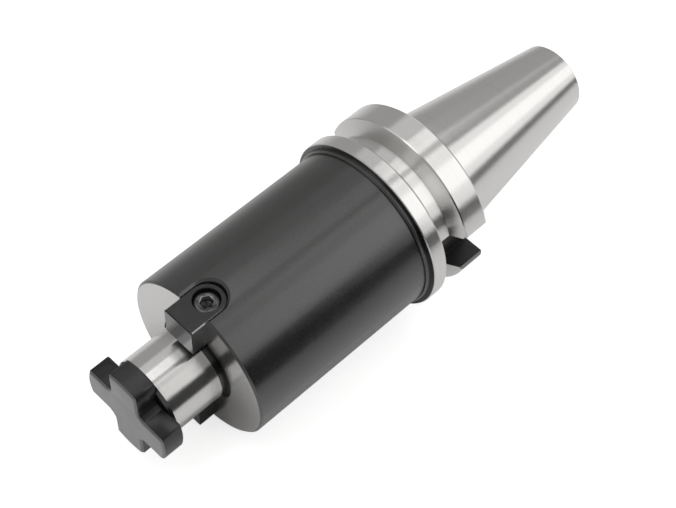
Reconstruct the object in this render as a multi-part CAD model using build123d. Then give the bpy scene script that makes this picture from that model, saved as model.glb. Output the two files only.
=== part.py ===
from build123d import *

import os
from math import cos, radians, sqrt, tan

# Shell mill arbor with a 7/24 taper shank, sizes in millimetres.
# The axis is Z. The gauge plane is Z = 0, the taper points up and the spigot points down.
# The spindle drive slots lie on X and the cutter drive keys on Y.

# Taper shank
gauge_diameter = 44.45
taper_ratio = 7 / 24
taper_length = 65.4
small_end_chamfer = 0.5
taper_relief_width = 1.2
taper_relief_depth = 0.4

# Hole for the pull stud
pull_stud_diameter = 16.0
pull_stud_hole_depth = 34.0
pilot_diameter = 17.0
pilot_depth = 7.0
pilot_chamfer = 0.8

# Flange with the gripper groove and the two spindle drive slots
flange_diameter = 63.0
flange_rear = 2.0
flange_front = 27.0
flange_rear_chamfer = 0.8
flange_edge_break = 0.3
groove_centre = 16.6
groove_mouth_width = 10.0
groove_depth = 5.0
groove_included_angle = 60.0
drive_slot_width = 16.1
drive_slot_floor = 22.5
drive_slot_end = 20.5
drive_slot_chamfer = 1.0

# Cylindrical body
body_diameter = 58.0
body_front = 100.0
body_front_chamfer = 0.7
collar_height = 0.8
collar_width = 1.1
collar_chamfer = 0.6
body_relief_width = 0.8
body_relief_depth = 0.25

# Spigot that carries the cutter, and the relief at its root
spigot_diameter = 27.0
spigot_length = 21.0
spigot_chamfer = 1.0
root_recess_width = 1.7
root_recess_depth = 0.8
root_undercut_width = 2.0
root_undercut_depth = 0.3

# Clamp screw with four lobes
clamp_thread_diameter = 12.0
clamp_hole_spare = 8.0
clamp_hole_chamfer = 0.6
clamp_shank_length = 24.0
clamp_head_diameter = 35.0
clamp_head_thickness = 8.0
clamp_lobe_width = 12.0
clamp_lobe_count = 4
clamp_notch_radius = 3.0
clamp_head_chamfer = 0.7
clamp_rear_chamfer = 0.4
clamp_tip_chamfer = 1.2

# Drive keys and their seats in the body
key_width = 12.0
key_height = 11.4
key_sunk = 1.6
key_protrusion = 6.0
key_length = 17.4
key_edge_chamfer = 0.4
key_foot_chamfer = 0.3
key_side_clearance = 0.02
key_end_clearance = 0.5
key_seat_chamfer = 0.8

# Socket screws that hold the keys
key_screw_diameter = 5.0
key_screw_shank_length = 12.0
key_screw_head_diameter = 8.5
key_screw_head_height = 5.0
key_screw_head_chamfer = 0.5
key_screw_tip_chamfer = 0.6
key_screw_socket_width = 4.0
key_screw_socket_depth = 2.5
key_screw_hole_clearance = 0.25
key_screw_head_sunk = 1.2
counterbore_clearance = 0.25
key_screw_tap_spare = 0.5

# Shared by all screws and drilled holes
thread_clearance = 0.03
drill_point_angle = 118.0

# How near an edge has to lie to the place where it is looked for
edge_tolerance = 0.01

# Both keys, screws and spindle slots are half a turn apart
SIDES = (("a", 0.0), ("b", 180.0))

# Places that follow from the sizes above
flange_radius = flange_diameter / 2
body_radius = body_diameter / 2
spigot_radius = spigot_diameter / 2
spigot_end = body_front + spigot_length
groove_floor_radius = flange_radius - groove_depth
root_recess_radius = spigot_radius + root_recess_width
clamp_hole_depth = clamp_shank_length + clamp_hole_spare
key_outer = body_radius - key_sunk
key_inner = key_outer - key_height
key_end_radius = key_width / 2
key_centre = body_front + key_protrusion - key_length + key_end_radius
key_screw_seat = key_outer - key_screw_head_sunk - key_screw_head_height


def taper_radius(height):
    """Radius of the taper at a height above the gauge plane."""
    return gauge_diameter / 2 - height * taper_ratio / 2


def groove_half_width(radius):
    """Half the width of the gripper groove at a radius."""
    return groove_mouth_width / 2 - (flange_radius - radius) * tan(radians(groove_included_angle / 2))


def drill_cone(radius):
    """Depth of the cone that a drill of this radius leaves."""
    return radius / tan(radians(drill_point_angle / 2))


def turned(outline):
    """Solid of revolution about Z from an outline of (radius, height) points."""
    return revolve(Plane.XZ * make_face(Polyline(*outline, close=True)), Axis.Z, 360)


def rim_edges(solid, radius, height):
    """Circular edges of a turned solid with this radius, at this height."""

    def on_rim(edge):
        near = abs(edge.radius - radius) < edge_tolerance
        return near and abs(edge.arc_center.Z - height) < edge_tolerance

    return solid.edges().filter_by(GeomType.CIRCLE).filter_by(on_rim)


def turned_blank():
    """Outside of the arbor body: taper, flange, collar, cylinder and spigot."""
    mouth = groove_half_width(flange_radius)
    floor = groove_half_width(groove_floor_radius)
    neck_radius = gauge_diameter / 2 - taper_relief_depth
    collar_radius = body_radius + collar_height
    collar_front = flange_front + collar_width
    collar_foot = collar_radius - collar_chamfer
    relief_rear = collar_front + collar_chamfer
    relief_radius = body_radius - body_relief_depth
    undercut_radius = spigot_radius - root_undercut_depth
    undercut_front = body_front + root_undercut_width
    shoulder = taper_radius(taper_length - small_end_chamfer)
    outline = [
        (0, taper_length),
        (shoulder - small_end_chamfer, taper_length),
        (shoulder, taper_length - small_end_chamfer),
        (gauge_diameter / 2, 0),
        (gauge_diameter / 2, taper_relief_width - flange_rear),
        (neck_radius, taper_relief_width - flange_rear),
        (neck_radius, -flange_rear),
        (flange_radius - flange_rear_chamfer, -flange_rear),
        (flange_radius, -flange_rear - flange_rear_chamfer),
        (flange_radius, mouth - groove_centre),
        (groove_floor_radius, floor - groove_centre),
        (groove_floor_radius, -floor - groove_centre),
        (flange_radius, -mouth - groove_centre),
        (flange_radius, -flange_front),
        (collar_radius, -flange_front),
        (collar_radius, -collar_front),
        (collar_foot, -relief_rear),
        (relief_radius, -relief_rear),
        (relief_radius, -relief_rear - body_relief_width),
        (body_radius, -relief_rear - body_relief_width),
        (body_radius, body_front_chamfer - body_front),
        (body_radius - body_front_chamfer, -body_front),
        (root_recess_radius, -body_front),
        (root_recess_radius - root_recess_depth / 2, root_recess_depth - body_front),
        (undercut_radius, root_recess_depth - body_front),
        (undercut_radius, root_undercut_depth - undercut_front),
        (spigot_radius, -undercut_front),
        (spigot_radius, spigot_chamfer - spigot_end),
        (spigot_radius - spigot_chamfer, -spigot_end),
        (0, -spigot_end),
    ]
    blank = turned(outline)
    breaks = ShapeList()
    for height in (mouth - groove_centre, -mouth - groove_centre, -flange_front):
        breaks += rim_edges(blank, flange_radius, height)
    return chamfer(breaks, flange_edge_break)


def pull_stud_hole():
    """Pilot bore, thread hole and drill point, from the small end of the taper."""
    pilot_radius = pilot_diameter / 2
    hole_radius = pull_stud_diameter / 2 + thread_clearance
    floor = taper_length - pull_stud_hole_depth
    return turned([
        (0, taper_length + pilot_chamfer),
        (pilot_radius + 2 * pilot_chamfer, taper_length + pilot_chamfer),
        (pilot_radius, taper_length - pilot_chamfer),
        (pilot_radius, taper_length - pilot_depth),
        (hole_radius, taper_length - pilot_depth),
        (hole_radius, floor),
        (0, floor - drill_cone(hole_radius)),
    ])


def clamp_screw_hole():
    """Thread hole for the clamp screw, from the end of the spigot."""
    hole_radius = clamp_thread_diameter / 2 + thread_clearance
    floor = clamp_hole_depth - spigot_end
    return turned([
        (0, -spigot_end - clamp_hole_chamfer),
        (hole_radius + 2 * clamp_hole_chamfer, -spigot_end - clamp_hole_chamfer),
        (hole_radius, clamp_hole_chamfer - spigot_end),
        (hole_radius, floor),
        (0, floor + drill_cone(hole_radius)),
    ])


def drive_slot():
    """Spindle drive slot on +X, with its outer edges broken."""
    half = drive_slot_width / 2
    flare = sqrt(flange_radius**2 - half**2) - drive_slot_chamfer
    reach = flange_radius + drive_slot_chamfer
    outline = Polyline(
        (drive_slot_floor, -half),
        (flare, -half),
        (reach, flare - reach - half),
        (reach, half + reach - flare),
        (flare, half),
        (drive_slot_floor, half),
        close=True,
    )
    rear = drive_slot_chamfer - flange_rear
    section = Plane.XY.offset(rear) * make_face(outline)
    return extrude(section, -(drive_slot_end + rear))


def key_plan(width, front, centre):
    """Plan of a key or its seat: straight sides and a round rear end, in X and Z."""
    straight = front - centre
    plan = Pos(0, -centre - straight / 2) * Rectangle(width, straight)
    return Plane.XZ * (plan + Pos(0, -centre) * Circle(width / 2))


def key_seat():
    """Seat of one drive key on -Y, open at the face and at the outside of the body."""
    width = key_width + 2 * key_side_clearance
    centre = key_centre - key_end_clearance + key_side_clearance
    plan = key_plan(width, body_front + key_protrusion, centre)
    return Pos(0, -key_inner, 0) * extrude(plan, 2 * body_radius)


def key_screw_hole():
    """Thread hole of a key screw, down from the floor of the key seat on -Y."""
    radius = key_screw_diameter / 2 + thread_clearance
    depth = key_inner - (key_screw_seat - key_screw_shank_length) + key_screw_tap_spare
    hole = Plane.XZ.offset(key_inner - depth) * Circle(radius)
    return Pos(0, 0, -key_centre) * extrude(hole, depth)


def seat_rim(body):
    """Edges where the key seats run out on the outside of the body."""
    half = key_end_radius + key_side_clearance

    def on_rim(edge):
        middle = edge @ 0.5
        distance = sqrt(middle.X**2 + middle.Y**2)
        inside = -body_front + 2 * body_front_chamfer < middle.Z < -key_centre + 2 * half
        outside = abs(distance - body_radius) < edge_tolerance
        return inside and outside and abs(middle.X) < half + edge_tolerance

    return body.edges().filter_by(on_rim)


def arbor_body():
    """One-piece arbor: turned, then bored, slotted and drilled."""
    body = turned_blank() - pull_stud_hole() - clamp_screw_hole()
    for _, angle in SIDES:
        turn = Rot(0, 0, angle)
        body -= turn * drive_slot()
        body -= turn * key_seat()
    body = chamfer(seat_rim(body), key_seat_chamfer)
    for _, angle in SIDES:
        body -= Rot(0, 0, angle) * key_screw_hole()
    return body


def drive_key():
    """Drive key on -Y with a round rear end and a counterbored hole for its screw."""
    plan = key_plan(key_width, body_front + key_protrusion, key_centre)
    key = Pos(0, -key_inner, 0) * extrude(plan, key_outer - key_inner)
    key = chamfer(key.faces().sort_by(Axis.Y)[0].outer_wire().edges(), key_edge_chamfer)
    key = chamfer(key.faces().sort_by(Axis.Y)[-1].outer_wire().edges(), key_foot_chamfer)
    hole = Plane.XZ.offset(key_inner) * Circle(key_screw_diameter / 2 + key_screw_hole_clearance)
    bore_radius = key_screw_head_diameter / 2 + counterbore_clearance
    bore = Plane.XZ.offset(key_screw_seat) * Circle(bore_radius)
    place = Pos(0, 0, -key_centre)
    key -= place * extrude(hole, key_screw_seat - key_inner)
    return key - place * extrude(bore, key_outer - key_screw_seat)


def hex_socket(width, depth):
    """Hexagon socket sunk from the plane Z = 0, with the cone that its drill leaves."""
    pocket = extrude(RegularPolygon(width / 2, 6, major_radius=False), -depth)
    cone = drill_cone(width / 2)
    return pocket + Pos(0, 0, -depth - cone / 2) * Rot(180, 0, 0) * Cone(width / 2, 0, cone)


def key_screw():
    """Socket head cap screw of a drive key, on -Y with its head outwards."""
    head_radius = key_screw_head_diameter / 2
    shank_radius = key_screw_diameter / 2
    screw = turned([
        (0, key_screw_head_height),
        (head_radius - key_screw_head_chamfer, key_screw_head_height),
        (head_radius, key_screw_head_height - key_screw_head_chamfer),
        (head_radius, 0),
        (shank_radius, 0),
        (shank_radius, key_screw_tip_chamfer - key_screw_shank_length),
        (shank_radius - key_screw_tip_chamfer, -key_screw_shank_length),
        (0, -key_screw_shank_length),
    ])
    screw -= Pos(0, 0, key_screw_head_height) * hex_socket(key_screw_socket_width, key_screw_socket_depth)
    return Pos(0, -key_screw_seat, -key_centre) * Rot(90, 0, 0) * screw


def lobed_plan():
    """Plan of the clamp screw head: lobes across a disc, with round notch corners."""
    disc = Circle(clamp_head_diameter / 2)
    lobes = Sketch()
    for i in range(clamp_lobe_count):
        lobe = Pos(clamp_head_diameter / 2, 0) * Rectangle(clamp_head_diameter, clamp_lobe_width)
        lobes += Rot(0, 0, i * 360 / clamp_lobe_count) * lobe
    corner = clamp_lobe_width / 2 / cos(radians(90 - 180 / clamp_lobe_count))
    inner = lobes.vertices().filter_by(lambda v: abs(sqrt(v.X**2 + v.Y**2) - corner) < edge_tolerance)
    return fillet(inner, clamp_notch_radius) & disc


def clamp_screw():
    """Clamp screw in the end of the spigot, with its lobed head down."""
    head = extrude(Plane.XY.offset(-spigot_end) * lobed_plan(), -clamp_head_thickness)
    head = chamfer(head.faces().sort_by(Axis.Z)[0].outer_wire().edges(), clamp_head_chamfer)
    head = chamfer(head.faces().sort_by(Axis.Z)[-1].outer_wire().edges(), clamp_rear_chamfer)
    radius = clamp_thread_diameter / 2
    tip = clamp_shank_length - spigot_end
    shank = turned([
        (0, tip),
        (radius - clamp_tip_chamfer, tip),
        (radius, tip - clamp_tip_chamfer),
        (radius, -spigot_end - clamp_head_thickness / 2),
        (0, -spigot_end - clamp_head_thickness / 2),
    ])
    return head + shank


os.makedirs("parts", exist_ok=True)
export_step(arbor_body(), "parts/arbor_body.step")
export_step(clamp_screw(), "parts/clamp_screw.step")
for side, side_angle in SIDES:
    export_step(Rot(0, 0, side_angle) * drive_key(), f"parts/drive_key_{side}.step")
    export_step(Rot(0, 0, side_angle) * key_screw(), f"parts/key_screw_{side}.step")
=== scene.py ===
from math import cos, pi, radians, sin, tan

import bmesh
import bpy
from mathutils import Matrix, Vector


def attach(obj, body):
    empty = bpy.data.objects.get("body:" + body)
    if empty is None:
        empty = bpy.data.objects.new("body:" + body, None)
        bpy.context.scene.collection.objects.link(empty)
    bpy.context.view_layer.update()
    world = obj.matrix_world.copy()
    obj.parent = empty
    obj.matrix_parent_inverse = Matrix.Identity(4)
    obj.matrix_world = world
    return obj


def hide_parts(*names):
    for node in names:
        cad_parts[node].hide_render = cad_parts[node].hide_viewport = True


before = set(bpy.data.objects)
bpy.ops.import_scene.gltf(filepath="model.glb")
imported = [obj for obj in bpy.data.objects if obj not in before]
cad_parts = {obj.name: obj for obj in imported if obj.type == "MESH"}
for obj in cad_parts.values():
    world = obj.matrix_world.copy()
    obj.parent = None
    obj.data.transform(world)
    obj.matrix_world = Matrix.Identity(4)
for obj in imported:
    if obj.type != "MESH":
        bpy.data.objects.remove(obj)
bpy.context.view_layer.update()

# One millimetre in the scene's metres
MM = 0.001

# Finish zones of the arbor body, and zones of painted shade and a painted highlight in its drive slots, in
# millimetres from the axis and along it
shank_front = -26.99
pull_stud_mouth = (9.35, 25.0)
slot_depth, slot_end = 22.45, -20.55
slot_half_width, slot_edge_outside = 8.065, 8.86
slot_edge_depth = 29.4
slot_corner = (7.8, 22.55)
face_ring = (15.25, 28.28, -99.97)
spigot_ground = (-119.98, -101.75)
spigot_skin = 13.4
clamp_hole = (6.1, -97.0)
clamp_hole_spare = 8.0
key_hole_depths = (7.0, 16.0)

# Finish zones of the keys and screws, and where highlights and shade are painted on them
key_end_face = -105.95
key_edge_band = (27.01, 27.39)
key_edge_front = -105.5
key_side_face = 5.9
clamp_end_face = -128.95
clamp_rim = -128.3
key_screw_axis = -94.6
key_screw_face = 26.15
key_screw_socket_half = 2.02
key_screw_hole = 2.6

# Threads: pitch and outer radius in millimetres
clamp_pitch, clamp_radius = 1.75, 6.0
stud_pitch, stud_radius = 2.0, 8.0
key_screw_pitch, key_screw_radius = 0.8, 2.5
hole_clearance = 0.03

# Depth of a metric thread as a share of its pitch, on a screw and in a hole
screw_thread_depth, hole_thread_depth = 0.6134, 0.5413

# Camera of the photograph, in metres
camera_place = Vector((0.21539, -0.44406, -0.26243))
camera_forward = Vector((-0.39515, 0.82226, 0.40957))
camera_up = Vector((-0.59468, -0.56879, 0.56818))
camera_focal_px = 1676.1
photo_width_px = 676

# Light of the room, and how much the floor glows for the camera and in the metal
room_light = 0.45
floor_colour = 0.8
floor_lift_camera = 0.7
floor_lift_gloss = 0.3

# Where a shadow is painted under the arbor, keeping the floor dark in the metal, in millimetres
shadow_full, shadow_end = 18.0, 36.0
shadow_front, shadow_back = (-126.0, -108.0), (-27.0, -10.0)

# On the far side of the arbor the floor is dimmer in the metal, a painted shade, from the first x to the
# second
dim_from, dim_to = -40.0, -200.0

# Beside the black body the floor is dimmer in the metal too, a painted shade: limits in x, and at each end
# in the place along the axis that the body's reflection comes from
side_from, side_to = 45.0, 130.0
side_front, side_back = (-115.0, -95.0), (-40.0, -30.0)
side_slope = 0.5
side_pivot = 30.0


class Nodes:
    """Short way to write a node tree: each call adds one node and returns its output."""

    def __init__(self, tree):
        self.tree = tree

    def add(self, kind, inputs=(), output=0, **settings):
        node = self.tree.nodes.new(kind)
        for name, value in settings.items():
            setattr(node, name, value)
        for key, value in dict(inputs).items():
            self.feed(node.inputs[key], value)
        return node.outputs[output]

    def feed(self, socket, value):
        if isinstance(value, bpy.types.NodeSocket):
            self.tree.links.new(value, socket)
        else:
            socket.default_value = value

    def math(self, operation, a, b=0.0, clamp=False):
        return self.add("ShaderNodeMath", {0: a, 1: b}, operation=operation, use_clamp=clamp)

    def between(self, value, low, high):
        """One where the value lies between two limits."""
        above = self.math("GREATER_THAN", value, low)
        return self.math("MULTIPLY", above, self.math("LESS_THAN", value, high))

    def both(self, first, *others):
        """One where all the given values are one."""
        for other in others:
            first = self.math("MULTIPLY", first, other)
        return first

    def blend(self, factor, a, b):
        """Number that goes from a to b with the factor."""
        return self.add("ShaderNodeMix", {"Factor": factor, 2: a, 3: b}, data_type="FLOAT")

    def ramp(self, value, low, high, a, b):
        """Number that goes from a to b while the value goes from low to high."""
        limits = {"Value": value, 1: low, 2: high, 3: a, 4: b}
        return self.add("ShaderNodeMapRange", limits, clamp=True)


def grey(level, warmth=0.0):
    """Neutral colour, a little warmer or cooler."""
    return (level * (1 + warmth), level, level * (1 - warmth), 1.0)


def new_material(name):
    """Empty material, its main shader and its node tree."""
    material = bpy.data.materials.new(name)
    material.use_nodes = True
    shader = material.node_tree.nodes["Principled BSDF"]
    return material, shader, Nodes(material.node_tree)


def place_of_point(n):
    """Object coordinates in millimetres: x, y, z and the distance from the axis."""
    where = n.add("ShaderNodeTexCoord", output="Object")
    scaled = n.add("ShaderNodeVectorMath", {0: where, "Scale": 1 / MM}, operation="SCALE")
    split = n.add("ShaderNodeSeparateXYZ", {0: scaled}).node
    x, y, z = split.outputs
    flat = n.add("ShaderNodeCombineXYZ", {"X": x, "Y": y})
    radius = n.add("ShaderNodeVectorMath", {0: flat}, output="Value", operation="LENGTH")
    return scaled, x, y, z, radius


def tool_marks(n, z, radius, per_mm):
    """Rings left by turning or grinding: lines in Z on a cylinder, in radius on a face."""
    along = n.math("ADD", z, n.math("MULTIPLY", radius, 1.37))
    return n.add("ShaderNodeTexNoise", {"W": along, "Scale": per_mm, "Detail": 4.0, "Roughness": 0.65},
                 noise_dimensions="1D")


def ground_zones(n, x, y, z, radius):
    """One where the arbor is ground bright, in its drive slots, where shade is painted, on their edges,
    and in their corners, where a highlight is painted.
    """
    across_x = n.math("ABSOLUTE", x)
    across_y = n.math("ABSOLUTE", y)
    hole_radius, hole_bottom = pull_stud_mouth
    hole = n.both(n.math("LESS_THAN", radius, hole_radius), n.math("GREATER_THAN", z, hole_bottom))
    beside_slot = n.math("GREATER_THAN", z, slot_end)
    slot = n.both(beside_slot, n.math("LESS_THAN", across_y, slot_half_width),
                  n.math("GREATER_THAN", across_x, slot_depth))
    edge = n.both(beside_slot, n.between(across_y, slot_half_width, slot_edge_outside),
                  n.math("GREATER_THAN", across_x, slot_edge_depth))
    left_black = n.math("MAXIMUM", hole, n.math("MAXIMUM", slot, edge))
    shank = n.both(n.math("GREATER_THAN", z, shank_front), n.math("SUBTRACT", 1.0, left_black))
    inner, outer, front = face_ring
    face = n.both(n.between(radius, inner, outer), n.math("LESS_THAN", z, front))
    spigot = n.both(n.between(z, *spigot_ground), n.math("GREATER_THAN", radius, spigot_skin))
    corner = n.both(slot, n.math("GREATER_THAN", across_y, slot_corner[0]),
                    n.math("LESS_THAN", across_x, slot_corner[1]))
    return n.math("MAXIMUM", shank, n.math("MAXIMUM", face, spigot)), slot, edge, corner


def hole_threads(n, x, y, z, radius):
    """Thread lines in the tapped holes that a screw runs in, as a height from 0 to 1."""
    clamp_turn = n.math("DIVIDE", n.math("ARCTAN2", y, x), 2 * pi)
    clamp_wave = n.math("PINGPONG", n.math("ADD", n.math("DIVIDE", z, clamp_pitch), clamp_turn), 0.5)
    hole_radius, hole_front = clamp_hole
    in_clamp_hole = n.both(n.math("LESS_THAN", radius, hole_radius),
                           n.math("LESS_THAN", z, hole_front + clamp_hole_spare))
    beside = n.math("SUBTRACT", z, key_screw_axis)
    key_turn = n.math("DIVIDE", n.math("ARCTAN2", beside, x), 2 * pi)
    depth = n.math("ABSOLUTE", y)
    deepest, shallowest = key_hole_depths
    key_wave = n.math("PINGPONG", n.math("ADD", n.math("DIVIDE", depth, key_screw_pitch), key_turn), 0.5)
    in_key_hole = n.both(n.math("LESS_THAN", screw_axis_distance(n, x, z), key_screw_hole),
                         n.math("LESS_THAN", depth, shallowest), n.math("GREATER_THAN", depth, deepest))
    return n.math("ADD", n.both(in_clamp_hole, clamp_wave), n.both(in_key_hole, key_wave))


def arbor_finish_and_painted_light():
    """Ground steel on the taper, flange, face ring and spigot, blackened steel elsewhere, with painted
    shade in the drive slots and a painted highlight along their corners.
    """
    material, shader, n = new_material("arbor_finish_and_painted_light")
    point, x, y, z, radius = place_of_point(n)
    ground, slot, edge, corner = ground_zones(n, x, y, z, radius)

    fine = tool_marks(n, z, radius, 2.6)
    broad = tool_marks(n, z, radius, 0.45)
    cloud = n.add("ShaderNodeTexNoise", {"Vector": point, "Scale": 0.11, "Detail": 3.0})
    speck = n.add("ShaderNodeTexNoise", {"Vector": point, "Scale": 3.5, "Detail": 2.0})

    steel_level = n.ramp(n.math("ADD", n.math("MULTIPLY", fine, 0.8), n.math("MULTIPLY", broad, 0.2)),
                         0.3, 0.7, 0.59, 0.65)
    black_level = n.ramp(cloud, 0.3, 0.7, 0.003, 0.007)
    # Painted shade: the oxide in the drive slots is darker than elsewhere.
    black_level = n.blend(slot, black_level, 0.002)
    # Painted highlight: a lighter line on the slot floor along its walls.
    black_level = n.blend(corner, black_level, 0.05)
    black_level = n.blend(edge, black_level, n.ramp(cloud, 0.3, 0.7, 0.16, 0.24))
    level = n.blend(ground, black_level, steel_level)
    warm = n.math("MULTIPLY", level, n.blend(ground, 0.99, 1.01))
    cool = n.math("MULTIPLY", level, n.blend(ground, 1.04, 0.985))
    n.feed(shader.inputs["Base Color"], n.add("ShaderNodeCombineColor", {0: warm, 1: level, 2: cool}))
    n.feed(shader.inputs["Metallic"], n.math("MAXIMUM", ground, edge))
    steel_rough = n.ramp(broad, 0.3, 0.7, 0.195, 0.215)
    black_rough = n.ramp(speck, 0.3, 0.7, 0.26, 0.32)
    black_rough = n.blend(slot, black_rough, 0.55)
    n.feed(shader.inputs["Roughness"], n.blend(ground, black_rough, steel_rough))
    relief = n.blend(ground, n.math("MULTIPLY", speck, 0.6), fine)
    marks = n.add("ShaderNodeBump", {"Strength": 0.06, "Distance": 0.2 * MM, "Height": relief})
    threads = n.add("ShaderNodeBump", {"Strength": 1.0, "Distance": 0.8 * MM,
                                       "Height": hole_threads(n, x, y, z, radius), "Normal": marks})
    n.feed(shader.inputs["Normal"], threads)
    shader.inputs["IOR"].default_value = 1.92
    shader.inputs["Anisotropic"].default_value = 0.8
    shader.inputs["Anisotropic Rotation"].default_value = 0.25
    return material


def blackened_steel(name, zones, gloss, polish, painted_shade=None):
    """Satin black oxide, a little uneven, and thin enough in some zones for bare steel to show; in some
    zones that steel is a painted highlight.

    zones(n, x, y, z, radius) gives how much steel shows, from 0 to 1. Such a zone is a darker
    metal, and polish is its roughness where the steel shows faintly and where it shows well.
    gloss is the refractive index of the oxide. The last argument, where given, marks where shade is
    painted by darkening the oxide.
    """
    material, shader, n = new_material(name)
    point, x, y, z, radius = place_of_point(n)
    cloud = n.add("ShaderNodeTexNoise", {"Vector": point, "Scale": 0.25, "Detail": 4.0})
    speck = n.add("ShaderNodeTexNoise", {"Vector": point, "Scale": 5.0, "Detail": 2.0})
    bare = zones(n, x, y, z, radius)
    metal = n.math("GREATER_THAN", bare, 0.01)
    oxide = n.ramp(cloud, 0.3, 0.7, 0.01, 0.018)
    if painted_shade is not None:
        # Painted shade: the oxide is darkened to a fifth where the shade mask is one.
        oxide = n.math("MULTIPLY", oxide, n.ramp(painted_shade(n, x, y, z, radius), 0.0, 1.0, 1.0, 0.2))
    steel = n.math("MULTIPLY", bare, n.ramp(speck, 0.3, 0.7, 0.52, 0.62))
    level = n.blend(metal, oxide, steel)
    n.feed(shader.inputs["Base Color"],
           n.add("ShaderNodeCombineColor", {0: level, 1: level, 2: n.math("MULTIPLY", level, 1.03)}))
    n.feed(shader.inputs["Metallic"], metal)
    rubbed = n.ramp(bare, 0.4, 0.5, *polish)
    n.feed(shader.inputs["Roughness"], n.blend(metal, n.ramp(speck, 0.3, 0.7, 0.3, 0.4), rubbed))
    bump = n.add("ShaderNodeBump", {"Strength": 0.08, "Distance": 0.1 * MM, "Height": speck})
    n.feed(shader.inputs["Normal"], bump)
    shader.inputs["IOR"].default_value = gloss
    return material


def key_rub_and_glint(n, x, y, z, radius):
    """Drive key: an end face rubbed by cutters, and a painted highlight of brighter steel along its outer
    edge chamfer, left off the front end.
    """
    out = n.math("ABSOLUTE", y)
    end = n.math("LESS_THAN", z, key_end_face)
    # Painted highlight: brighter steel along the outer edge chamfer, not on the front end.
    edge = n.both(n.between(out, *key_edge_band), n.math("GREATER_THAN", z, key_edge_front))
    return n.math("MAXIMUM", n.math("MULTIPLY", end, 0.3), n.math("MULTIPLY", edge, 0.85))


def key_side_shade(n, x, y, z, radius):
    """Sides of a drive key, where shade is painted by darkening the oxide."""
    return n.math("GREATER_THAN", n.math("ABSOLUTE", x), key_side_face)


def clamp_bare(n, x, y, z, radius):
    """Clamp screw: a turned end face, and a faint line on its chamfer."""
    face = n.math("LESS_THAN", z, clamp_end_face)
    rim = n.between(z, clamp_end_face, clamp_rim)
    return n.math("MAXIMUM", n.math("MULTIPLY", face, 0.52), n.math("MULTIPLY", rim, 0.36))


def from_socket_side(n, x, z):
    """Distance of a point from the middle of a hexagon socket, measured square to the nearest side."""
    across = n.math("SUBTRACT", z, key_screw_axis)
    farthest = n.math("ABSOLUTE", across)
    for turn in (60, 120):
        slanted = n.math("ADD", n.math("MULTIPLY", x, sin(radians(turn))),
                         n.math("MULTIPLY", across, cos(radians(turn))))
        farthest = n.math("MAXIMUM", farthest, n.math("ABSOLUTE", slanted))
    return farthest


def key_screw_socket(n, x, y, z, radius):
    """Inside of the hexagon socket of a key screw, where shade is painted by darkening the oxide."""
    inside = n.math("LESS_THAN", from_socket_side(n, x, z), key_screw_socket_half)
    return n.both(inside, n.math("LESS_THAN", n.math("ABSOLUTE", y), key_screw_face))


def key_screw_rub_and_glint(n, x, y, z, radius):
    """Key screw: a rubbed head, with a painted highlight of brighter steel round the rim of its socket."""
    above = n.math("GREATER_THAN", n.math("ABSOLUTE", y), key_screw_face)
    rim = n.math("LESS_THAN", from_socket_side(n, x, z), key_screw_socket_half + 0.25)
    return n.both(above, n.ramp(rim, 0.0, 1.0, 0.16, 0.5))


def screw_axis_distance(n, x, z):
    """Distance from the axis of the key screws, which lies along Y."""
    beside = n.add("ShaderNodeCombineXYZ", {"X": x, "Y": n.math("SUBTRACT", z, key_screw_axis)})
    return n.add("ShaderNodeVectorMath", {0: beside}, output="Value", operation="LENGTH")


def floor_finish():
    """Pale floor that keeps the shadow, has painted shadow and shade in its glow under the arbor, beside
    the body and on its far side, seen only in the metal, and is seen through from its back.
    """
    material = bpy.data.materials.new("pale_floor")
    material.use_nodes = True
    material.node_tree.nodes.clear()
    n = Nodes(material.node_tree)
    point, x, y, z, radius = place_of_point(n)
    # Painted shadow under the arbor, in the floor's glow for the metal.
    under = n.both(n.ramp(n.math("ABSOLUTE", x), shadow_full, shadow_end, 1.0, 0.0),
                   n.ramp(z, *shadow_front, 0.0, 1.0), n.ramp(z, *shadow_back, 1.0, 0.0))
    path = n.add("ShaderNodeLightPath").node
    gloss = n.math("MAXIMUM", path.outputs["Is Glossy Ray"], path.outputs["Is Transmission Ray"])
    # Painted shade beside the black body, in the floor's glow for the metal.
    origin = n.math("SUBTRACT", z, n.math("MULTIPLY", n.math("SUBTRACT", x, side_pivot), side_slope))
    beside = n.both(n.ramp(x, side_from, side_to, 0.0, 1.0),
                    n.ramp(origin, *side_front, 0.0, 1.0), n.ramp(origin, *side_back, 1.0, 0.0))
    gloss = n.both(gloss, n.math("SUBTRACT", 1.0, under), n.math("SUBTRACT", 1.0, beside),
                   n.ramp(x, dim_to, dim_from, 0.0, 1.0))
    lift = n.math("ADD", n.math("MULTIPLY", path.outputs["Is Camera Ray"], floor_lift_camera),
                  n.math("MULTIPLY", gloss, floor_lift_gloss))
    paint = n.add("ShaderNodeBsdfDiffuse", {"Color": grey(floor_colour)})
    glow = n.add("ShaderNodeEmission", {"Color": grey(1.0), "Strength": lift})
    front = n.add("ShaderNodeAddShader", {0: paint, 1: glow})
    back = n.add("ShaderNodeBsdfTransparent")
    behind = n.add("ShaderNodeNewGeometry", output="Backfacing")
    mixed = n.add("ShaderNodeMixShader", {0: behind, 1: front, 2: back})
    output = material.node_tree.nodes.new("ShaderNodeOutputMaterial")
    material.node_tree.links.new(mixed, output.inputs["Surface"])
    return material


def card_finish(name, level):
    """Dull dark paint of the cards."""
    material, shader, n = new_material(name)
    shader.inputs["Base Color"].default_value = grey(level)
    shader.inputs["Roughness"].default_value = 1.0
    shader.inputs["Specular IOR Level"].default_value = 0.0
    return material


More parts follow.
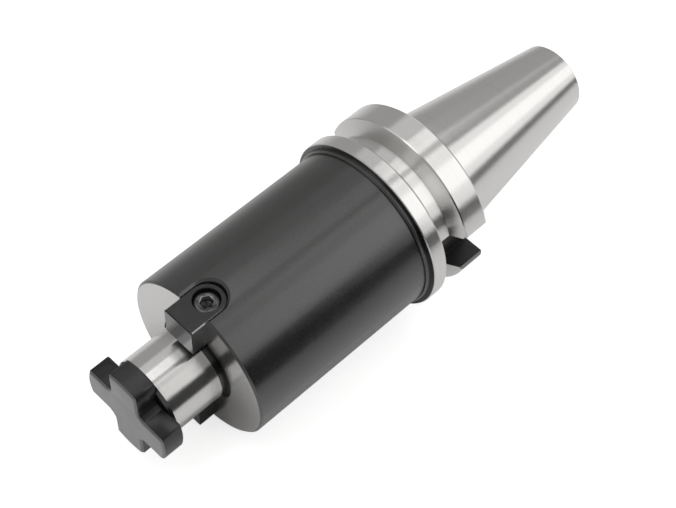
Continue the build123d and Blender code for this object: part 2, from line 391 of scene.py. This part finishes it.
def rectangle(name, centre, along, across, half_along, half_across):
    """Flat sheet whose front faces along x across."""
    corners = [centre + along * a * half_along + across * b * half_across
               for a, b in ((-1, -1), (1, -1), (1, 1), (-1, 1))]
    mesh = bpy.data.meshes.new(name)
    mesh.from_pydata(corners, [], [(0, 1, 2, 3)])
    sheet = bpy.data.objects.new(name, mesh)
    bpy.context.scene.collection.objects.link(sheet)
    return sheet


def make_floor():
    """Floor that the arbor lies on: it touches the flange's front edge and the body's front edge."""
    flange_edge = Vector((0, 31.5, -27.0)) * MM
    body_edge = Vector((0, 29.0, -100.0)) * MM
    along = (flange_edge - body_edge).normalized()
    across = Vector((1, 0, 0))
    sheet = rectangle("floor", body_edge, across, along, 2.0, 2.0)
    if sheet.data.polygons[0].normal.y > 0:
        sheet.data.flip_normals()
    sheet.data.materials.append(floor_finish())


def make_card(name, distance, low_edge, high_edge, low, high, level):
    """Dark card that stands beside the arbor and gives its metal a crisp dark line."""
    centre = Vector((distance, (low_edge + high_edge) / 2, (low + high) / 2))
    half_across = (high_edge - low_edge) / 2
    sheet = rectangle(name, centre, Vector((0, 1, 0)), Vector((0, 0, 1)), half_across, (high - low) / 2)
    sheet.data.materials.append(card_finish(name, level))
    sheet.visible_camera = False
    sheet.visible_shadow = False


def light_panel(name, azimuth, distance, half_angle, low, high, radiance):
    """Soft box parallel to the axis. Azimuth is measured about it from +X."""
    lamp = bpy.data.lights.new(name, "AREA")
    lamp.shape = "RECTANGLE"
    lamp.size = 2 * distance * tan(radians(half_angle))
    lamp.size_y = high - low
    lamp.energy = radiance * pi * lamp.size * lamp.size_y
    holder = bpy.data.objects.new(name, lamp)
    bpy.context.scene.collection.objects.link(holder)
    out = Vector((cos(radians(azimuth)), sin(radians(azimuth)), 0))
    up = Vector((0, 0, 1))
    place = out * distance + up * (low + high) / 2
    turn = Matrix((up.cross(out), up, out)).transposed()
    holder.matrix_world = Matrix.Translation(place) @ turn.to_4x4()
    holder.visible_camera = False
    return holder


def make_lights():
    """Soft panels beside the arbor, in metres and degrees."""
    light_panel("panel_right", azimuth=-46, distance=1.0, half_angle=36,
                low=0.2, high=2.0, radiance=0.82)
    light_panel("panel_right_core", azimuth=-47, distance=1.0, half_angle=16,
                low=0.2, high=2.0, radiance=0.38)
    light_panel("panel_left_spigot", azimuth=-102, distance=0.35, half_angle=12,
                low=-0.3, high=0.01, radiance=1.25)
    light_panel("panel_left_flange", azimuth=-100, distance=0.35, half_angle=11,
                low=0.13, high=0.26, radiance=1.05)
    light_panel("panel_left_body", azimuth=-86, distance=1.0, half_angle=10,
                low=0.22, high=0.44, radiance=0.6)
    light_panel("panel_wing_spigot", azimuth=-126, distance=0.35, half_angle=15,
                low=-0.3, high=0.01, radiance=0.44)
    light_panel("panel_wing_flange", azimuth=-126, distance=0.35, half_angle=13,
                low=0.125, high=0.24, radiance=0.42)
    light_panel("panel_left_top", azimuth=-108, distance=1.0, half_angle=4,
                low=0.62, high=2.0, radiance=0.16)


def make_world():
    """White room for the camera, and a dimmer, warmer one for the metal."""
    world = bpy.data.worlds.new("room")
    world.use_nodes = True
    n = Nodes(world.node_tree)
    background = world.node_tree.nodes["Background"]
    seen = n.add("ShaderNodeLightPath").node
    unseen = n.math("SUBTRACT", 1.0, seen.outputs["Is Camera Ray"])
    tint = n.math("SUBTRACT", 1.0, n.math("MULTIPLY", unseen, 0.025))
    n.feed(background.inputs["Color"], n.add("ShaderNodeCombineColor", {0: 1.0, 1: 0.992, 2: tint}))
    n.feed(background.inputs["Strength"], n.blend(seen.outputs["Is Camera Ray"], room_light, 1.0))
    bpy.context.scene.world = world


def make_camera():
    """Camera with square pixels, nearest to the photograph's."""
    lens = bpy.data.cameras.new("camera")
    lens.sensor_fit = "HORIZONTAL"
    lens.lens = camera_focal_px / photo_width_px * lens.sensor_width
    holder = bpy.data.objects.new("camera", lens)
    bpy.context.scene.collection.objects.link(holder)
    back = -camera_forward.normalized()
    right = camera_up.cross(back).normalized()
    turn = Matrix((right, back.cross(right), back)).transposed()
    holder.matrix_world = Matrix.Translation(camera_place) @ turn.to_4x4()
    bpy.context.scene.camera = holder


def dress(node, material):
    """Gives a CAD node its finish."""
    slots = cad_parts[node].material_slots
    for slot in slots:
        slot.material = material


# Screws and threads

def thread_tree():
    """Screw thread made of one sheared grid: rows run up the helix, columns go round the axis.

    A thread on a screw is closed by a pole at each end. A thread in a hole is a thin sleeve, whose
    outer wall lies inside the metal.
    """
    tree = bpy.data.node_groups.new("screw_thread", "GeometryNodeTree")
    for name in ("Crest radius", "Root radius", "Pitch", "Start", "End", "Start radius", "End radius",
                 "Wall radius", "Columns"):
        tree.interface.new_socket(name, in_out="INPUT", socket_type="NodeSocketFloat")
    tree.interface.new_socket("In a hole", in_out="INPUT", socket_type="NodeSocketBool")
    tree.interface.new_socket("Finish", in_out="INPUT", socket_type="NodeSocketMaterial")
    tree.interface.new_socket("Geometry", in_out="OUTPUT", socket_type="NodeSocketGeometry")
    n = Nodes(tree)
    given = tree.nodes.new("NodeGroupInput").outputs

    rows_per_turn = 8.0
    turns = n.math("DIVIDE", n.math("SUBTRACT", given["End"], given["Start"]), given["Pitch"])
    rows = n.math("CEIL", n.math("MULTIPLY", n.math("ADD", turns, 2.0), rows_per_turn))
    rows = n.math("ADD", rows, 5.0)
    last = n.math("SUBTRACT", rows, 1.0)
    columns = n.math("ADD", given["Columns"], 1.0)
    grid = n.add("GeometryNodeMeshGrid", {"Size X": 1.0, "Size Y": 1.0, "Vertices X": columns,
                                          "Vertices Y": rows})
    place = n.add("ShaderNodeSeparateXYZ", {0: n.add("GeometryNodeInputPosition")}).node
    turn = n.math("ADD", place.outputs[0], 0.5)
    row = n.math("ROUND", n.math("MULTIPLY", n.math("ADD", place.outputs[1], 0.5), last))

    climb = n.math("ADD", n.math("DIVIDE", row, rows_per_turn), n.math("SUBTRACT", turn, 2.0))
    height = n.math("ADD", n.math("MULTIPLY", climb, given["Pitch"]), given["Start"])
    height = n.math("MAXIMUM", n.math("MINIMUM", height, given["End"]), given["Start"])
    phase = n.math("FRACT", n.math("DIVIDE", n.math("ADD", row, 4.5), rows_per_turn))
    off_crest = n.math("ABSOLUTE", n.math("SUBTRACT", phase, 0.5))
    radius = n.ramp(off_crest, 1 / 16, 7 / 16, given["Crest radius"], given["Root radius"])

    from_start = n.math("SUBTRACT", height, given["Start"])
    from_end = n.math("SUBTRACT", given["End"], height)
    outside = n.math("MINIMUM", n.math("ADD", given["Start radius"], from_start),
                     n.math("ADD", given["End radius"], from_end))
    outside = n.math("MINIMUM", radius, outside)
    inside = n.math("MAXIMUM", n.math("SUBTRACT", given["Start radius"], from_start),
                    n.math("SUBTRACT", given["End radius"], from_end))
    inside = n.math("MAXIMUM", radius, inside)
    hole = given["In a hole"]
    radius = n.add("GeometryNodeSwitch", {"Switch": hole, "False": outside, "True": inside},
                   input_type="FLOAT")

    first_row = n.math("LESS_THAN", row, 0.5)
    end_row = n.math("GREATER_THAN", row, n.math("SUBTRACT", last, 0.5))
    wall_row = n.math("MAXIMUM", n.math("LESS_THAN", row, 1.5), end_row)
    radius = n.blend(wall_row, radius, given["Wall radius"])
    top = n.math("MULTIPLY", first_row, hole)
    height = n.blend(top, height, given["End"])

    angle = n.math("MULTIPLY", turn, 2 * pi)
    spot = n.add("ShaderNodeCombineXYZ", {0: n.math("MULTIPLY", radius, n.math("COSINE", angle)),
                                          1: n.math("MULTIPLY", radius, n.math("SINE", angle)), 2: height})
    mesh = n.add("GeometryNodeSetPosition", {"Geometry": grid, "Position": spot})
    mesh = n.add("GeometryNodeMergeByDistance", {"Geometry": mesh, "Distance": 0.0005 * MM})
    turned = n.add("GeometryNodeFlipFaces", {"Mesh": mesh})
    mesh = n.add("GeometryNodeSwitch", {"Switch": hole, "False": mesh, "True": turned},
                 input_type="GEOMETRY")
    finish_tree(n, mesh, given["Finish"])
    return tree


def knurl_tree():
    """Straight knurl: upright ridges stood round the side of a screw head."""
    tree = bpy.data.node_groups.new("straight_knurl", "GeometryNodeTree")
    for name in ("Head radius", "Bottom", "Top", "Ridges", "Ridge radius"):
        tree.interface.new_socket(name, in_out="INPUT", socket_type="NodeSocketFloat")
    tree.interface.new_socket("Finish", in_out="INPUT", socket_type="NodeSocketMaterial")
    tree.interface.new_socket("Geometry", in_out="OUTPUT", socket_type="NodeSocketGeometry")
    n = Nodes(tree)
    given = tree.nodes.new("NodeGroupInput").outputs
    tall = n.math("SUBTRACT", given["Top"], given["Bottom"])
    middle = n.math("MULTIPLY", n.math("ADD", given["Top"], given["Bottom"]), 0.5)
    circle = n.add("GeometryNodeMeshCircle", {"Vertices": given["Ridges"], "Radius": given["Head radius"]})
    circle = n.add("GeometryNodeSetPosition", {"Geometry": circle,
                                               "Offset": n.add("ShaderNodeCombineXYZ", {2: middle})})
    ridge = n.add("GeometryNodeMeshCylinder",
                  {"Vertices": 4, "Radius": given["Ridge radius"], "Depth": tall})
    step = n.math("DIVIDE", n.math("MULTIPLY", n.add("GeometryNodeInputIndex"), 2 * pi), given["Ridges"])
    turn = n.add("ShaderNodeCombineXYZ", {2: step})
    ring = n.add("GeometryNodeInstanceOnPoints", {"Points": circle, "Instance": ridge, "Rotation": turn})
    finish_tree(n, ring, given["Finish"])
    return tree


def finish_tree(n, geometry, material):
    """Ends a geometry tree with real faces and one material."""
    solid = n.add("GeometryNodeRealizeInstances", {"Geometry": geometry})
    solid = n.add("GeometryNodeSetMaterial", {"Geometry": solid, "Material": material})
    output = n.tree.nodes.new("NodeGroupOutput")
    n.tree.links.new(solid, output.inputs["Geometry"])


def grown(name, tree, **sizes):
    """Mesh that a geometry tree makes from named sizes. Spaces in a name are written as underscores."""
    holder = bpy.data.objects.new(name, bpy.data.meshes.new(name))
    bpy.context.scene.collection.objects.link(holder)
    modifier = holder.modifiers.new(name, "NODES")
    modifier.node_group = tree
    keys = {item.name: item.identifier for item in tree.interface.items_tree if item.in_out == "INPUT"}
    for label, value in sizes.items():
        modifier[keys[label.replace("_", " ")]] = value
    graph = bpy.context.evaluated_depsgraph_get()
    mesh = bpy.data.meshes.new_from_object(holder.evaluated_get(graph))
    holder.modifiers.remove(modifier)
    bpy.data.objects.remove(holder)
    return mesh


def head_of(node, keep):
    """Copy of a CAD screw's head: the faces that keep() accepts, closed where the shank came off."""
    bm = bmesh.new()
    bm.from_mesh(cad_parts[node].data)
    bmesh.ops.remove_doubles(bm, verts=bm.verts, dist=0.0005 * MM)
    shank = [face for face in bm.faces if not all(keep(vert.co / MM) for vert in face.verts)]
    bmesh.ops.delete(bm, geom=shank, context="FACES")
    rim = [edge for edge in bm.edges if edge.is_boundary]
    bmesh.ops.holes_fill(bm, edges=rim)
    mesh = bpy.data.meshes.new(node)
    bm.to_mesh(mesh)
    bm.free()
    return mesh


def joined(name, material, *meshes):
    """One mesh object from several meshes, with crisp edges where its faces turn sharply."""
    bm = bmesh.new()
    for mesh in meshes:
        bm.from_mesh(mesh)
    for face in bm.faces:
        face.material_index = 0
        face.smooth = True
    whole = bpy.data.meshes.new(name)
    bm.to_mesh(whole)
    bm.free()
    whole.materials.clear()
    whole.materials.append(material)
    whole.set_sharp_from_angle(angle=radians(28))
    piece = bpy.data.objects.new(name, whole)
    bpy.context.scene.collection.objects.link(piece)
    return piece


def moved(mesh, matrix):
    """The same mesh, put in another place."""
    mesh.transform(matrix)
    return mesh


def make_clamp_screw(thread, material):
    """Clamp screw: its lobed head, and an M12 thread in place of the plain shank."""
    head_seat = -121.0
    tip = -97.0
    root = clamp_radius - screw_thread_depth * clamp_pitch
    head = head_of("clamp_screw", lambda place: place.z < head_seat + 0.01)
    shank = grown("clamp_thread", thread, Crest_radius=clamp_radius * MM, Root_radius=root * MM,
                  Pitch=clamp_pitch * MM, Start=(head_seat - 0.5) * MM, End=tip * MM,
                  Start_radius=(root - 0.9) * MM, End_radius=(root - 0.15) * MM, Wall_radius=0.0,
                  Columns=64.0, In_a_hole=False, Finish=material)
    piece = joined("clamp_screw_threaded", material, head, shank)
    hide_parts("clamp_screw")
    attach(piece, "clamp")


def make_key_screw(side, sign, thread, knurl, material):
    """Socket head cap screw of a drive key, with a knurled head and an M5 thread."""
    node = f"key_screw_{side}"
    head_seat = 21.2
    head_top = 26.2
    tip = 9.2
    head_radius = 4.25
    root = key_screw_radius - screw_thread_depth * key_screw_pitch
    head = head_of(node, lambda place: place.y * sign > head_seat - 0.01)
    shank = grown(node, thread, Crest_radius=key_screw_radius * MM, Root_radius=root * MM,
                  Pitch=key_screw_pitch * MM, Start=-(head_seat + 0.3) * MM, End=-tip * MM,
                  Start_radius=(root - 0.2) * MM, End_radius=(root - 0.1) * MM, Wall_radius=0.0,
                  Columns=48.0, In_a_hole=False, Finish=material)
    ridges = grown(node, knurl, Head_radius=(head_radius - 0.06) * MM, Bottom=-(head_top - 0.75) * MM,
                   Top=-(head_seat + 0.35) * MM, Ridges=44.0, Ridge_radius=0.16 * MM, Finish=material)
    outward = Vector((0, sign, 0))
    sideways = Vector((1, 0, 0))
    upright = Matrix((sideways, (-outward).cross(sideways), -outward)).transposed().to_4x4()
    upright = Matrix.Translation(Vector((0, 0, key_screw_axis)) * MM) @ upright
    piece = joined(f"key_screw_{side}_knurled", material, head,
                   moved(shank, upright), moved(ridges, upright))
    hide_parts(node)
    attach(piece, f"screw_{side}")


def make_stud_thread(thread, material):
    """Thread of the pull stud's hole, a sleeve whose crests stand in from the bored wall."""
    mouth, bottom = 58.4, 31.4
    wall = stud_radius + hole_clearance
    root = wall - 0.01
    crest = stud_radius - hole_thread_depth * stud_pitch
    sleeve = grown("stud_thread", thread, Crest_radius=crest * MM, Root_radius=root * MM,
                   Pitch=stud_pitch * MM, Start=bottom * MM, End=(mouth - 0.02) * MM,
                   Start_radius=root * MM, End_radius=root * MM, Wall_radius=(wall + 0.03) * MM,
                   Columns=72.0, In_a_hole=True, Finish=material)
    piece = joined("pull_stud_thread", material, sleeve)
    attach(piece, "arbor")


make_camera()
make_world()
make_lights()
make_floor()
make_card("card_taper", distance=0.2, low_edge=-0.047, high_edge=0.02, low=0.12, high=0.6, level=0.33)
make_card("card_flange", distance=0.22, low_edge=-0.039, high_edge=0.023, low=0.055, high=0.12, level=0.28)
make_card("card_body", distance=0.22, low_edge=-0.11, high_edge=0.05, low=-0.04, high=0.055, level=0.15)
make_card("card_spigot", distance=0.22, low_edge=-0.135, high_edge=0.035, low=-0.4, high=-0.04, level=0.08)
bpy.context.scene.view_settings.view_transform = "Standard"

dress("arbor_body", arbor_finish_and_painted_light())
key_finish_and_painted_light = blackened_steel("key_finish_and_painted_light", key_rub_and_glint, gloss=1.5, polish=(0.16, 0.4), painted_shade=key_side_shade)
clamp_finish = blackened_steel("clamp_finish", clamp_bare, gloss=1.5, polish=(0.42, 0.42))
screw_finish_and_painted_light = blackened_steel("key_screw_finish_and_painted_light", key_screw_rub_and_glint, gloss=1.6, polish=(0.3, 0.3),
                               painted_shade=key_screw_socket)
thread = thread_tree()
knurl = knurl_tree()
make_clamp_screw(thread, clamp_finish)
make_stud_thread(thread, clamp_finish)
for side, sign in (("a", -1), ("b", 1)):
    dress(f"drive_key_{side}", key_finish_and_painted_light)
    make_key_screw(side, sign, thread, knurl, screw_finish_and_painted_light)
